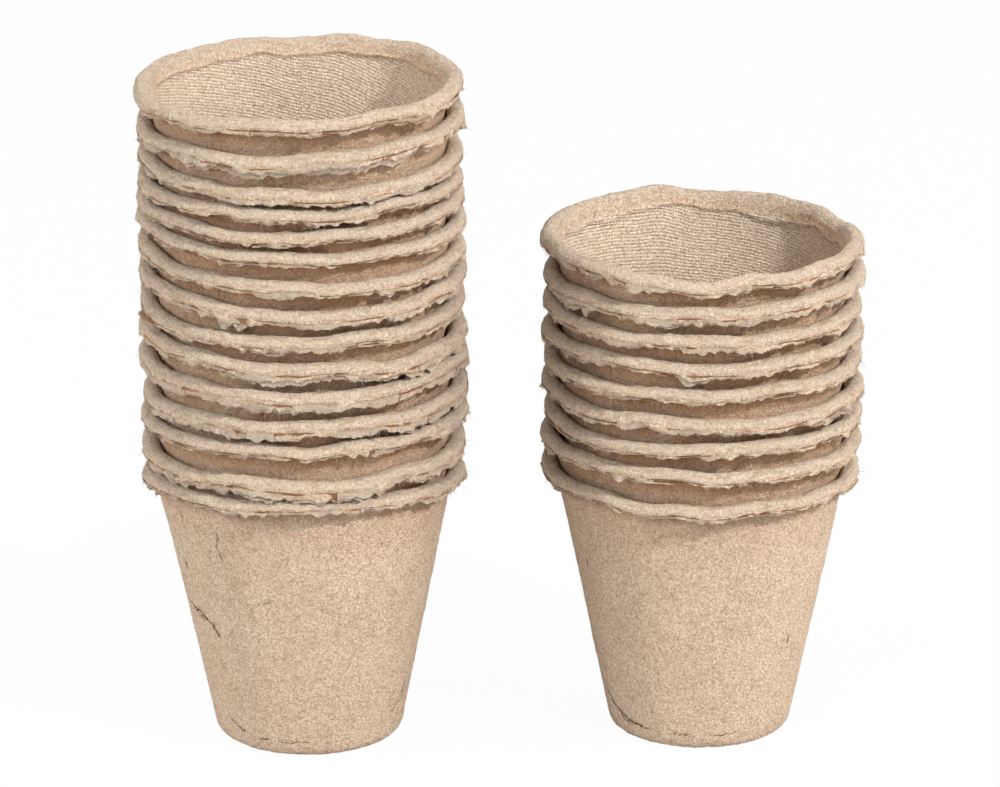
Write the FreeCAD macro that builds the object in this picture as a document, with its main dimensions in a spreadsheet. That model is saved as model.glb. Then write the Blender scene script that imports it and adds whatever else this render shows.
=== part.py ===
"""A set of round moulded-fibre plant pots, nested in two upright stacks.

Each pot is one moulded shell of even thickness: a flat floor with a rounded foot, a conical wall, and a
rim that rolls over outwards and hangs down as a lip. Every pot sits in the one below it, held by its cone,
so the rims show one above the other like rings. No two pots were moulded to quite the same height.

Origin: on the surface that the stacks stand on, midway between them. +Z up, +X from the left stack to the
right one, +Y away from the viewer.
"""

import FreeCAD, Part
import os
import sys
from math import cos, radians, sin

import Sketcher

# Driving dimensions, in millimetres and degrees
SIZES = [
    ("pot_height", 70.0, "Foot to the top of the rim of an average pot"),
    ("left_foot_width", 46.6, "Across the rounded foot, pots of the left stack"),
    ("right_foot_width", 45.4, "Across the rounded foot, pots of the right stack"),
    ("draft_angle", 11.6, "Lean of the wall from upright"),
    ("wall", 1.0, "Thickness of the moulded fibre, the same in floor, wall and rim"),
    ("foot_round", 3.5, "Outer radius between floor and wall"),
    ("roll_radius", 2.1, "Outer radius of the rolled rim"),
    ("lip_height", 4.0, "Top of the rim to the lower edge of its lip"),
    ("rim_rise", 1.4, "Most that a rim stands above or below the average height"),
    ("nest_gap", 0.41, "Usual clearance between the walls of two nested pots"),
    ("lip_gap", 0.4, "Least room between a lip and the rim below it"),
    ("stack_spacing", 98.0, "Between the axes of the two stacks"),
    ("stack_stagger", 4.4, "How much further back the right stack stands"),
]

# Each pot from the bottom up: its share of nest_gap over the pot below, and its share of rim_rise
LEFT_POT_SHARES = [
    (0.00, -0.63),
    (1.04, 0.31),
    (1.09, 0.77),
    (1.09, 0.23),
    (1.58, 1.00),
    (0.95, 0.66),
    (0.99, 0.43),
    (1.14, 0.71),
    (0.90, 0.34),
    (0.85, 0.65),
    (0.50, 0.12),
    (0.48, -0.94),
    (0.50, -0.80),
    (0.90, 0.31),
    (1.34, 0.63),
]
RIGHT_POT_SHARES = [
    (0.00, 0.08),
    (1.10, 0.43),
    (0.93, 0.22),
    (0.98, 0.09),
    (1.04, 0.22),
    (0.99, 0.03),
    (0.99, 0.00),
    (1.09, 0.03),
    (1.21, 0.30),
]

# Ends and centre of a sketch element, as the sketcher numbers them
START, END, CENTRE = 1, 2, 3
ORIGIN = -1


def make_sheet(document):
    """The spreadsheet of driving dimensions, one aliased row each."""
    sheet = document.addObject("Spreadsheet::Sheet", "Sizes")
    for row, (name, value, meaning) in enumerate(SIZES, start=1):
        sheet.set(f"A{row}", meaning)
        sheet.set(f"B{row}", str(value))
        sheet.setAlias(f"B{row}", name)
    document.recompute()
    return sheet


def draw_section(sketch, sheet, foot_width, rise_share):
    """Half the section of a pot: a strip of even thickness from the middle of the floor to the lip."""
    lean = radians(sheet.draft_angle)
    across, up = cos(lean), sin(lean)
    foot_x = getattr(sheet, foot_width) / 2 - sheet.foot_round
    foot_inside = sheet.foot_round - sheet.wall
    roll_inside = sheet.roll_radius - sheet.wall
    top = sheet.pot_height + sheet.rim_rise * rise_share
    roll_z = top - sheet.roll_radius
    run = (roll_z - sheet.foot_round + (sheet.foot_round + roll_inside) * up) / across
    roll_x = foot_x + (sheet.foot_round + roll_inside) * across + run * up
    lip_z = top - sheet.lip_height

    def point(x, z):
        return FreeCAD.Vector(x, z, 0)

    def line(first, last):
        return sketch.addGeometry(Part.LineSegment(first, last), False)

    def arc(x, z, radius, first, last):
        circle = Part.Circle(point(x, z), FreeCAD.Vector(0, 0, 1), radius)
        return sketch.addGeometry(Part.ArcOfCircle(circle, first, last), False)

    def beside(x, z, distance):
        """The point at this distance from a centre, straight out through the wall."""
        return point(x + distance * across, z - distance * up)

    quarter, half = radians(90), radians(180)
    underside = line(point(0, 0), point(foot_x, 0))
    foot_outer = arc(foot_x, sheet.foot_round, sheet.foot_round, -quarter, -lean)
    wall_outer = line(
        beside(foot_x, sheet.foot_round, sheet.foot_round), beside(roll_x, roll_z, -roll_inside)
    )
    roll_under = arc(roll_x, roll_z, roll_inside, 0, half - lean)
    lip_inner = line(point(roll_x + roll_inside, roll_z), point(roll_x + roll_inside, lip_z))
    lip_edge = line(
        point(roll_x + roll_inside, lip_z), point(roll_x + sheet.roll_radius, lip_z)
    )
    lip_outer = line(
        point(roll_x + sheet.roll_radius, lip_z), point(roll_x + sheet.roll_radius, roll_z)
    )
    roll_outer = arc(roll_x, roll_z, sheet.roll_radius, 0, half - lean)
    wall_inner = line(
        beside(roll_x, roll_z, -sheet.roll_radius), beside(foot_x, sheet.foot_round, foot_inside)
    )
    foot_inner = arc(foot_x, sheet.foot_round, foot_inside, -quarter, -lean)
    floor = line(point(foot_x, sheet.wall), point(0, sheet.wall))
    middle = line(point(0, sheet.wall), point(0, 0))

    def fix(kind, *parts):
        return sketch.addConstraint(Sketcher.Constraint(kind, *parts))

    fix("Coincident", underside, START, ORIGIN, START)
    fix("Horizontal", underside)
    fix("Tangent", underside, END, foot_outer, START)
    fix("Tangent", foot_outer, END, wall_outer, START)
    fix("Tangent", wall_outer, END, roll_under, END)
    fix("Tangent", roll_under, START, lip_inner, START)
    fix("Vertical", lip_inner)
    fix("Coincident", lip_inner, END, lip_edge, START)
    fix("Horizontal", lip_edge)
    fix("Coincident", lip_edge, END, lip_outer, START)
    fix("Tangent", lip_outer, END, roll_outer, START)
    fix("Tangent", roll_outer, END, wall_inner, START)
    fix("Tangent", wall_inner, END, foot_inner, END)
    fix("Tangent", foot_inner, START, floor, START)
    fix("Coincident", floor, END, middle, START)
    fix("Vertical", middle)
    fix("Coincident", middle, END, underside, START)
    fix("Coincident", foot_outer, CENTRE, foot_inner, CENTRE)
    fix("Coincident", roll_under, CENTRE, roll_outer, CENTRE)

    def measure(name, formula, kind, *parts):
        """A named dimension of the sketch, bound to the spreadsheet."""
        number = fix(kind, *parts)
        sketch.renameConstraint(number, name)
        sketch.setExpression(f"Constraints.{name}", formula)

    measure(
        "foot_centre", f"Sizes.{foot_width} / 2 - Sizes.foot_round",
        "DistanceX", ORIGIN, START, foot_outer, CENTRE, foot_x,
    )
    measure("foot_radius", "Sizes.foot_round", "Radius", foot_outer, sheet.foot_round)
    measure("foot_inside", "Sizes.foot_round - Sizes.wall", "Radius", foot_inner, foot_inside)
    measure("roll_radius", "Sizes.roll_radius", "Radius", roll_outer, sheet.roll_radius)
    measure("roll_inside", "Sizes.roll_radius - Sizes.wall", "Radius", roll_under, roll_inside)
    measure(
        "roll_centre", f"Sizes.pot_height + Sizes.rim_rise * {rise_share} - Sizes.roll_radius",
        "DistanceY", ORIGIN, START, roll_outer, CENTRE, roll_z,
    )
    measure(
        "lip_drop", "Sizes.lip_height - Sizes.roll_radius",
        "DistanceY", lip_outer, START, lip_outer, END, roll_z - lip_z,
    )
    measure(
        "lean_from_floor", "90 - Sizes.draft_angle",
        "Angle", underside, START, wall_outer, START, quarter - lean,
    )


def make_pot(document, sheet, name, foot_width, rise_share):
    """One pot, turned from its half section about its upright axis."""
    pot = document.addObject("PartDesign::Body", name)
    pot.Label = name
    plane = next(item for item in pot.Origin.OriginFeatures if item.Role == "XZ_Plane")
    section = pot.newObject("Sketcher::SketchObject", f"{name}_section")
    section.AttachmentSupport = (plane, [""])
    section.MapMode = "FlatFace"
    draw_section(section, sheet, foot_width, rise_share)
    shell = pot.newObject("PartDesign::Revolution", f"{name}_shell")
    shell.Profile = section
    shell.ReferenceAxis = (section, ["V_Axis"])
    shell.Angle = 360
    section.Visibility = False
    return pot


def make_stack(document, sheet, side, direction, pot_shares):
    """Pots nested on one axis. Each is as far above the last as its wall and its lip both need."""
    stack = []
    below_rise = None
    for number, (gap_share, rise_share) in enumerate(pot_shares, start=1):
        pot = make_pot(document, sheet, f"{side}_pot_{number:02d}", f"{side}_foot_width", rise_share)
        pot.setExpression("Placement.Base.x", f"{direction} * Sizes.stack_spacing / 2")
        pot.setExpression("Placement.Base.y", f"{direction} * Sizes.stack_stagger / 2")
        if stack:
            walls = f"(Sizes.wall + Sizes.nest_gap * {gap_share}) / sin(Sizes.draft_angle)"
            lips = (
                "Sizes.lip_height + Sizes.lip_gap"
                f" - Sizes.rim_rise * ({rise_share} - ({below_rise}))"
            )
            pot.setExpression(
                "Placement.Base.z", f"{stack[-1].Name}.Placement.Base.z + max({walls}; {lips}) * 1 mm"
            )
        stack.append(pot)
        below_rise = rise_share
    return stack


def check(document, pots):
    """Stop with a plain message if anything failed to compute."""
    failed = [item.Name for item in document.Objects if {"Invalid", "Error"} & set(item.State)]
    if failed:
        sys.exit(f"failed objects: {failed}")
    for pot in pots:
        if pot.Shape.isNull() or not pot.Shape.isValid() or len(pot.Shape.Solids) != 1:
            sys.exit(f"{pot.Label} is not one valid solid")


document = FreeCAD.newDocument("nested_pots")
sheet = make_sheet(document)
pots = make_stack(document, sheet, "left", -1, LEFT_POT_SHARES)
pots += make_stack(document, sheet, "right", 1, RIGHT_POT_SHARES)
document.recompute()
check(document, pots)

os.makedirs("parts", exist_ok=True)
for pot in pots:
    pot.Shape.exportStep(f"parts/{pot.Label}.step")
    box = pot.Shape.BoundBox
    box = pot.Shape.optimalBoundingBox()
    print(f"{pot.Label}: foot {box.ZMin:.2f}, rim {box.ZMax:.2f}")
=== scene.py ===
"""Two stacks of nested moulded-fibre pots on a pale floor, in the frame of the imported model.

Every pot is one dense closed shell, turned from a half section and then warped, frayed and torn as dry pulp
is. It stands in for its plain solid and rides on the same body, so each pot lifts out whole.
"""

import math

import bpy
import numpy as np
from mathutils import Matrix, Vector


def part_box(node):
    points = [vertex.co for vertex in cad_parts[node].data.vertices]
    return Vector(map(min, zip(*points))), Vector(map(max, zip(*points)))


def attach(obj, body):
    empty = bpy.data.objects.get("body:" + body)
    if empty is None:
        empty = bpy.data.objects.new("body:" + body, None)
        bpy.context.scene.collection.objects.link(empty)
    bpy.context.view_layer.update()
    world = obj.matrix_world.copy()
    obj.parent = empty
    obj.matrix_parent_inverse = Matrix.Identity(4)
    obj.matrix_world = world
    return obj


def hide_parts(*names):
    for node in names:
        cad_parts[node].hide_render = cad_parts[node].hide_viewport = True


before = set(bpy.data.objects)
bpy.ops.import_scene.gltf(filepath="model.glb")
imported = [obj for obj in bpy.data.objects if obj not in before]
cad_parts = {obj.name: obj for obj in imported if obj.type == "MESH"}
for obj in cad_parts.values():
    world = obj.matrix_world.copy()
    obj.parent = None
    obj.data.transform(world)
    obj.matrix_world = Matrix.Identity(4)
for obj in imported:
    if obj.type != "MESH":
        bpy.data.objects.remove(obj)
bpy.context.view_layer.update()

MM = 0.001
TURN = 2 * math.pi

# The section of a pot, in millimetres and degrees, as the solids have it
LEAN = math.radians(11.6)
WALL = 1.0
FOOT_ROUND = 3.5
ROLL = 2.1
ROLL_INSIDE = ROLL - WALL

# How far down from the rim its warp fades out, and where it is whole
WARP_DEPTH = 24.0
WARP_WHOLE = 4.0
# The feet of the left stack stand a little to the right of its rims
LEFT_FOOT_SHIFT = 0.7
LEFT_FOOT_SHIFT_HEIGHT = 80.0

# Columns around a pot, and rows of a wall that is seen whole and of one that is nested
COLUMNS = 600
ROWS_SHOWN, ROWS_NESTED = 54, 12
# Rows of the other stretches of the section
FLAT_ROWS, FOOT_ROWS, FLOOR_ROUND_ROWS = 5, 7, 5
ROLL_UNDER_ROWS, LIP_INNER_ROWS, LIP_OUTER_ROWS, ROLL_TOP_ROWS = 6, 5, 9, 15
# How the inner rows of a topmost pot crowd towards its rim, and the innermost ring as a share of the foot
CROWDING = 2.2
INNERMOST = 0.06

# Rim of each pot from the bottom up: tilt about X and Y in degrees, lip height and shift along X in mm
LEFT_RIMS = [
    (-4.5, 0.2, 3.4, -0.26),
    (0.1, -0.5, 4.2, 0.04),
    (-1.4, -0.8, 3.0, 0.13),
    (-1.0, -0.5, 4.3, 0.41),
    (1.7, -0.3, 4.5, 0.23),
    (0.8, 1.6, 3.9, 0.12),
    (0.6, -0.3, 3.4, 0.07),
    (2.1, 0.9, 3.8, 0.23),
    (1.3, 1.6, 3.4, -0.08),
    (1.1, 1.1, 2.8, -0.23),
    (1.0, -0.2, 2.9, -0.43),
    (-0.8, -0.2, 3.1, -0.31),
    (1.2, 0.2, 3.6, -0.16),
    (0.8, -1.6, 3.8, -0.41),
    (0.6, -1.3, 3.5, -0.56),
]
RIGHT_RIMS = [
    (1.4, 0.7, 3.1, -0.22),
    (-0.1, 1.1, 3.1, -0.20),
    (-0.5, -0.1, 3.1, 0.19),
    (0.0, 0.7, 3.6, 0.14),
    (-0.3, -0.1, 3.0, 0.01),
    (-0.6, 0.0, 3.3, 0.13),
    (-0.2, 0.3, 3.6, 0.03),
    (-0.3, -0.4, 4.0, 0.17),
    (0.2, 1.3, 3.5, -0.39),
]

# Slow waves of a rim: bearing from the front towards the right in degrees, rise in mm
RIM_WAVES = {
    "left_pot_15": [(-150, 0.3), (-90, 0.0), (-60, -0.3), (-30, 0.3), (0, -0.2), (28, 0.5), (50, 0.0),
                    (90, 0.3), (150, -0.1)],
    "right_pot_09": [(-160, 0.5), (-120, 0.2), (-90, 0.3), (-62, 0.6), (-38, 0.4), (-22, -0.7), (-5, -1.5),
                     (8, -0.3), (16, 0.6), (30, -0.1), (40, 0.5), (70, 0.3), (98, 0.9), (112, -0.7),
                     (125, 0.4), (170, 0.3)],
}

# Thin torn skirts under a lip: bearings where one starts and ends in degrees, drop and flare in mm
SKIRTS = {
    "left_pot_15": [(24, 40, 0.9, 1.2), (34, 54, 0.7, 1.5), (6, 21, 0.5, 0.3), (68, 82, 0.9, 0.9)],
    "left_pot_14": [(-40, 56, 1.9, -0.2), (-42, -34, 1.6, 0.9), (-34, -8, 1.9, 0.3), (4, 30, 0.9, 0.4)],
    "left_pot_13": [(-50, -10, 0.5, 0.2), (12, 40, 0.6, 0.2)],
    "left_pot_12": [(-28, 12, 1.0, 0.2)],
    "left_pot_11": [(-37, -28, 1.2, 0.5), (30, 52, 0.5, 0.2)],
    "left_pot_10": [(-32, -14, 1.0, 0.6), (20, 30, 0.5, 0.3)],
    "left_pot_09": [(-1, 6, 0.9, 0.5), (29, 37, 0.8, 0.4), (-48, -30, 0.5, 0.2)],
    "left_pot_08": [(-31, -17, 1.9, 0.4), (-56, -38, 0.8, 0.4), (16, 40, 0.5, 0.3)],
    "left_pot_07": [(-79, -62, 1.2, 2.0), (-22, 2, 1.3, 0.3), (10, 36, 0.8, 0.3)],
    "left_pot_06": [(-30, 38, 1.5, 0.2), (38, 60, 1.3, 0.9), (-62, -40, 1.0, 0.4)],
    "left_pot_05": [(-27, 8, 0.9, 0.2), (26, 33, 0.8, 0.5)],
    "left_pot_04": [(-56, -34, 0.7, 0.3), (20, 50, 0.6, 0.3)],
    "left_pot_03": [(24, 40, 1.4, 0.8), (-30, 0, 0.7, 0.2)],
    "left_pot_02": [(-64, -36, 1.2, 0.6), (-34, -8, 1.1, 0.3), (-4, 24, 1.2, 0.4), (26, 58, 1.1, 0.7)],
    "left_pot_01": [(-40, -10, 0.7, 0.3), (6, 34, 0.7, 0.3), (-78, -58, 0.8, 0.5)],
    "right_pot_09": [(-54, -38, 0.9, 0.6), (-34, -22, 0.8, 0.6), (10, 20, 0.6, 0.4), (30, 46, 0.6, 0.3)],
    "right_pot_08": [(-66, -46, 2.6, 0.4), (-20, 14, 0.7, 0.2)],
    "right_pot_07": [(-56, -44, 0.6, 0.3), (0, 26, 0.4, 0.2)],
    "right_pot_06": [(-13, 2, 1.9, 0.2), (-64, -46, 1.2, 0.5)],
    "right_pot_05": [(-30, 4, 0.4, 0.2)],
    "right_pot_04": [(42, 68, 0.9, 0.7), (-20, 10, 0.4, 0.2)],
    "right_pot_03": [(-50, -30, 0.5, 0.2)],
    "right_pot_02": [(10, 22, 0.6, 0.4), (-46, -24, 0.5, 0.3)],
    "right_pot_01": [(10, 34, 0.8, 0.5), (-30, -12, 0.5, 0.2)],
}

# Upright creases across a rim: bearing in degrees, depth and half width in mm
CREASES = {
    "left_pot_15": [(36, 0.7, 1.0), (46, 0.6, 0.8), (-58, 0.5, 1.2)],
    "left_pot_14": [(-38, 0.9, 0.8), (64, 0.4, 1.0)],
    "left_pot_11": [(-33, 0.6, 0.9)],
    "left_pot_10": [(-25, 0.5, 1.1)],
    "left_pot_08": [(-20, 0.7, 0.8)],
    "left_pot_07": [(-66, 0.8, 1.0)],
    "left_pot_04": [(-14, 0.8, 1.4)],
    "left_pot_03": [(26, 1.0, 0.9), (-12, 0.5, 0.7)],
    "left_pot_02": [(-25, 0.8, 1.2), (12, 0.7, 1.4), (40, 0.6, 1.0)],
    "right_pot_09": [(111, 1.3, 0.9), (-47, 0.6, 1.0), (-28, 0.5, 0.9), (14, 0.4, 0.9), (-142, 0.5, 0.8)],
    "right_pot_08": [(12, 0.6, 0.6)],
    "right_pot_02": [(16, 0.6, 0.8)],
    "right_pot_01": [(22, 0.5, 1.2)],
}

# Cracks on the outer wall: points of (bearing in degrees, height over the foot in mm), then half width in mm
CRACKS = {
    "left_pot_01": [
        ([(-76, 37.2), (-70, 36.4), (-64, 35.8), (-59, 35.9), (-55, 34.7), (-50, 33.6), (-47, 31.4),
          (-43, 28.8)], 0.26),
        ([(-66, 35.9), (-60, 34.8), (-56, 33.0)], 0.16),
        ([(-58, 62.0), (-57, 60.2), (-58, 58.2)], 0.20),
        ([(-37, 60.0), (-36, 57.4), (-37.5, 55.2), (-35.5, 52.6), (-36, 50.0)], 0.13),
        ([(-66, 49.2), (-64, 48.2), (-63, 46.6)], 0.20),
        ([(-25, 42.2), (-19, 42.8), (-12, 44.2)], 0.07),
        ([(-54, 8.6), (-48, 6.6), (-42, 5.6), (-36, 5.1)], 0.14),
        ([(-34, 4.8), (-28, 4.4), (-22, 4.8)], 0.10),
        ([(-18, 4.4), (-10, 4.0), (-6, 4.6), (2, 4.2)], 0.12),
        ([(6, 4.0), (12, 4.3), (20, 4.2), (26, 4.9)], 0.09),
        ([(72, 17.4), (67, 14.2), (66, 12.4), (60, 9.6), (56, 8.2)], 0.17),
        ([(74, 14.6), (70, 11.8), (64, 9.4)], 0.12),
    ],
    "right_pot_01": [
        ([(-74, 11.4), (-66, 8.8), (-58, 7.0), (-50, 5.6), (-42, 5.0), (-32, 4.2)], 0.22),
        ([(-60, 6.2), (-52, 4.8), (-46, 4.2)], 0.14),
        ([(-20, 4.2), (-12, 4.6), (-4, 4.0)], 0.13),
        ([(6, 4.0), (14, 4.4), (24, 4.6)], 0.11),
        ([(-65, 48.8), (-63, 46.2), (-62, 44.4)], 0.14),
        ([(48, 30.2), (50, 28.4), (49, 26.6)], 0.08),
    ],
}

# How far under the top of a rim its bead ends inside: bearing in degrees, depth in mm
RIDGES = {
    "right_pot_09": [(-160, 4.6), (-136, 5.6), (-90, 4.0), (0, 3.7), (90, 4.0), (124, 4.4), (140, 5.2),
                     (154, 5.8), (166, 4.2), (180, 3.2)],
}
PLAIN_RIDGE = [(0, 3.7), (180, 3.7)]

# Random lines around a rim, as spreads in mm: its slow and quick rise and shift outwards
RISE_SLOW, RISE_QUICK = 0.26, 0.035
PUSH_SLOW, PUSH_QUICK = 0.24, 0.03
PUSH_LIMITS = -0.4, 0.6
# The height of its lip: slow, ragged and frayed, the least under the roll and the most past its own height
LIP_SLOW, LIP_RAGGED, LIP_FRAYED = 0.30, 0.20, 0.07
LIP_LEAST, LIP_MOST = 0.2, 1.4
# How far the edge of a lip curls in, and the share of the wall's thickness that it loses
CURL, CURL_SPREAD = 0.40, 0.25
LIP_TAPER = 0.70

# Relief of the pulp as spreads in mm: broad and small forms, wrinkles, and the fray of a torn edge
RIM_BROAD, RIM_SMALL, RIM_WRINKLES, FRAY = 0.06, 0.030, 0.055, 0.13
WALL_BROAD, WALL_SMALL = 0.04, 0.035
# Share of the relief that the underside keeps
UNDERSIDE_RELIEF = 0.3
# Groove along the outer face of a lip: depth in mm, place and half width as shares of the face, strength
GROOVE_DEPTH, GROOVE_PLACE, GROOVE_WIDTH = 0.24, 0.35, 0.11
GROOVE_MEAN, GROOVE_MOST = 0.6, 1.6
# Share of a crease's depth at the top of the lip and on the roll
CREASE_SHARE = 0.25
# Bead and ridge inside a topmost pot, in mm: height, depths where it rises, where it ends past its edge, half
# width of the ridge and spread of the edge
BEAD = 0.42
BEAD_RISE = 0.4, 2.2
BEAD_END = -0.5, 0.6
RIDGE_WIDTH, RIDGE_SPREAD = 0.40, 0.3

# How torn a point is: from which share of the lip down, and on the roll
TORN_FROM, TORN_ROLL = 0.35, 0.5
# Depths inside in mm between which the print of the cloth starts, and its strength on the roll
TWILL_DEPTHS = 3.8, 4.8
TWILL_ROLL = 0.25
# Radius at which the threads of the cloth are counted, in mm
CLOTH_RADIUS = 36.0
# Painted shade on the wall under a lip, where the lip and the pot above shadow it: share, and how far below
# the lip it is whole and gone, in mm
WALL_PAINTED_SHADE = ((0.24, 4, 15), (0.76, 0.9, 4.0))
# How much of that painted shade falls on a lowest pot and on a nested one
LOWEST_PAINTED_SHADE, NESTED_PAINTED_SHADE = 0.45, 1.0
# How much the painted shade on the back of a lip fades towards its edge, and the painted shade in its groove
LIP_SHADE_FADE, GROOVE_PAINTED_SHADE = 0.5, 0.60
# Painted shade in hollows of a rim and a wall: strength and the depth in spreads where it starts, up to the
# deepest
RIM_HOLLOW_SHADE = 0.20, 0.6
WALL_HOLLOW_SHADE = 0.16, 0.9
DEEPEST_HOLLOW = 1.5
# Share of it inside and underneath
SMOOTH_HOLLOW_SHADE = 0.5
# Painted shade inside on the right, where the inner wall faces away from the key lamp: share, and the sines
# of the bearings between which it grows
RIGHT_PAINTED_SHADE = 0.22, 0.45, 0.95
# Faces of a lip are shaded flat where the drops of their two rows add up to more than this
FLAT_FROM = 1.6

# Torn sheets: spacing of their columns and of their outline's knots in mm, and columns for each tooth
SHEET_SPACING, KNOT_SPACING, TOOTH_COLUMNS = 0.33, 4, 5
# Fewest columns, knots and teeth
SHEET_COLUMNS, SHEET_KNOTS, SHEET_TEETH = 8, 7, 3
# Depth of the teeth, the least and the most drop that counts for them, and how far back a tear starts
TOOTH_DEPTH = 1.3
TOOTH_DROPS = 0.35, 0.9
TEAR_BACK = 0.15
# How wide the ends of a sheet taper, and the least it hangs down, in mm
SHEET_ENDS, SHEET_LEAST = 1.6, 0.3
# Spread of its crinkles and its roughness, its thickness at the top and what that loses down to the edge
CRINKLE, SHEET_ROUGH = 0.13, 0.05
SHEET_THICK, SHEET_LOSS = 0.20, 0.13
# Painted shade on a sheet just under the lip, and at the root of a flake
SHEET_PAINTED_SHADE, FLAKE_PAINTED_SHADE = 0.75, 0.55

# How many of each kind a pot has
BACK_SKIRTS, FLAKES, EDGE_FIBRES, CRUMBS = 7, 42, 110, 25
LOWEST_WALL_FIBRES, NESTED_WALL_FIBRES = 130, 30
# Steps of a loose fibre, and a direction that none runs along
FIBRE_STEPS = 6
ASLANT = 0.31, 0.42, 0.85
# Step along a crack and how far it wanders off its line, in mm
CRACK_STEP, CRACK_WANDER = 0.4, 0.14

# Surfaces of the section
UNDERSIDE, OUTER, ROLL_UNDER, LIP_INNER, LIP_OUTER, ROLL_TOP, INNER, FLOOR = range(8)
# Values that every point of a pot has
KINDS = ("torn", "crack", "twill", "shade")

# Bearing of each column in radians, from the front towards the right
BEARINGS = np.arange(COLUMNS) / COLUMNS * TURN - math.pi
# Random relief is drawn on a strip this long, in rows this far apart, in mm
STRIP_LENGTH, STRIP_STEP = 250.0, 0.25
# Points of a wave through knots over two turns, and how many of them blur the knots
WAVE_POINTS, BLUR_POINTS = 2881, 61


def smooth_step(value, low, high):
    """0 under low, 1 over high, and a smooth rise between."""
    share = np.clip((value - low) / (high - low), 0, 1)
    return share * share * (3 - 2 * share)


def band(length, finest, coarsest):
    """1 for wavelengths between finest and coarsest mm, fading out beyond them."""
    return smooth_step(length, finest * 0.6, finest) * (1 - smooth_step(length, coarsest, coarsest * 1.6))


def around(draw, finest, coarsest):
    """Random waves around a rim, with wavelengths between finest and coarsest mm and a spread of 1."""
    noise = np.fft.rfft(draw.normal(size=COLUMNS))
    length = STRIP_LENGTH / np.maximum(np.arange(noise.size), 1)
    keep = band(length, finest, coarsest) * np.sqrt(length)
    keep[0] = 0
    noise = np.fft.irfft(noise * keep, COLUMNS)
    return noise / noise.std()


def over(draw, distances, finest, coarsest, stretch=1.0):
    """Random relief over a pot, one row for each distance along its section, with a spread of 1. Its forms
    are stretched around the pot by a factor."""
    rows = int(distances[-1] / STRIP_STEP) + 2
    noise = np.fft.rfft2(draw.normal(size=(rows, COLUMNS)))
    up = np.fft.fftfreq(rows, STRIP_STEP)[:, None]
    across = stretch * np.fft.rfftfreq(COLUMNS, STRIP_LENGTH / COLUMNS)[None, :]
    length = 1 / np.maximum(np.hypot(up, across), 1e-6)
    noise = np.fft.irfft2(noise * band(length, finest, coarsest) * length, (rows, COLUMNS))
    noise /= noise.std()
    row = distances / STRIP_STEP
    low = row.astype(int)
    part = (row - low)[:, None]
    return noise[low] * (1 - part) + noise[low + 1] * part


def bump_around(at, half_width, radius):
    """A soft bump around a bearing in degrees, with its half width in mm at this radius."""
    off = (BEARINGS - math.radians(at) + math.pi) % TURN - math.pi
    return np.exp(-((off * radius / half_width) ** 2))


def wave_through(knots):
    """A smooth closed wave around a rim through knots of (bearing in degrees, rise in mm)."""
    at = np.array([math.radians(knot[0]) for knot in knots])
    rise = np.array([knot[1] for knot in knots])
    at = np.concatenate([at - TURN, at, at + TURN])
    fine = np.linspace(-TURN, TURN, WAVE_POINTS)
    line = np.interp(fine, at, np.tile(rise, 3))
    blur = np.hanning(BLUR_POINTS)
    line = np.convolve(line, blur / blur.sum(), "same")
    return np.interp(BEARINGS, fine, line)


def outwards(bearings):
    """Level directions away from the axis at bearings."""
    return np.stack([np.sin(bearings), -np.cos(bearings), np.zeros(bearings.size)], 1)


def unit(vectors):
    """Vectors made one long."""
    return vectors / np.linalg.norm(vectors, axis=-1, keepdims=True)


def sideways(bearings):
    """Level directions around the axis at bearings."""
    return np.stack([np.cos(bearings), np.sin(bearings), np.zeros(bearings.size)], 1)


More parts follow.
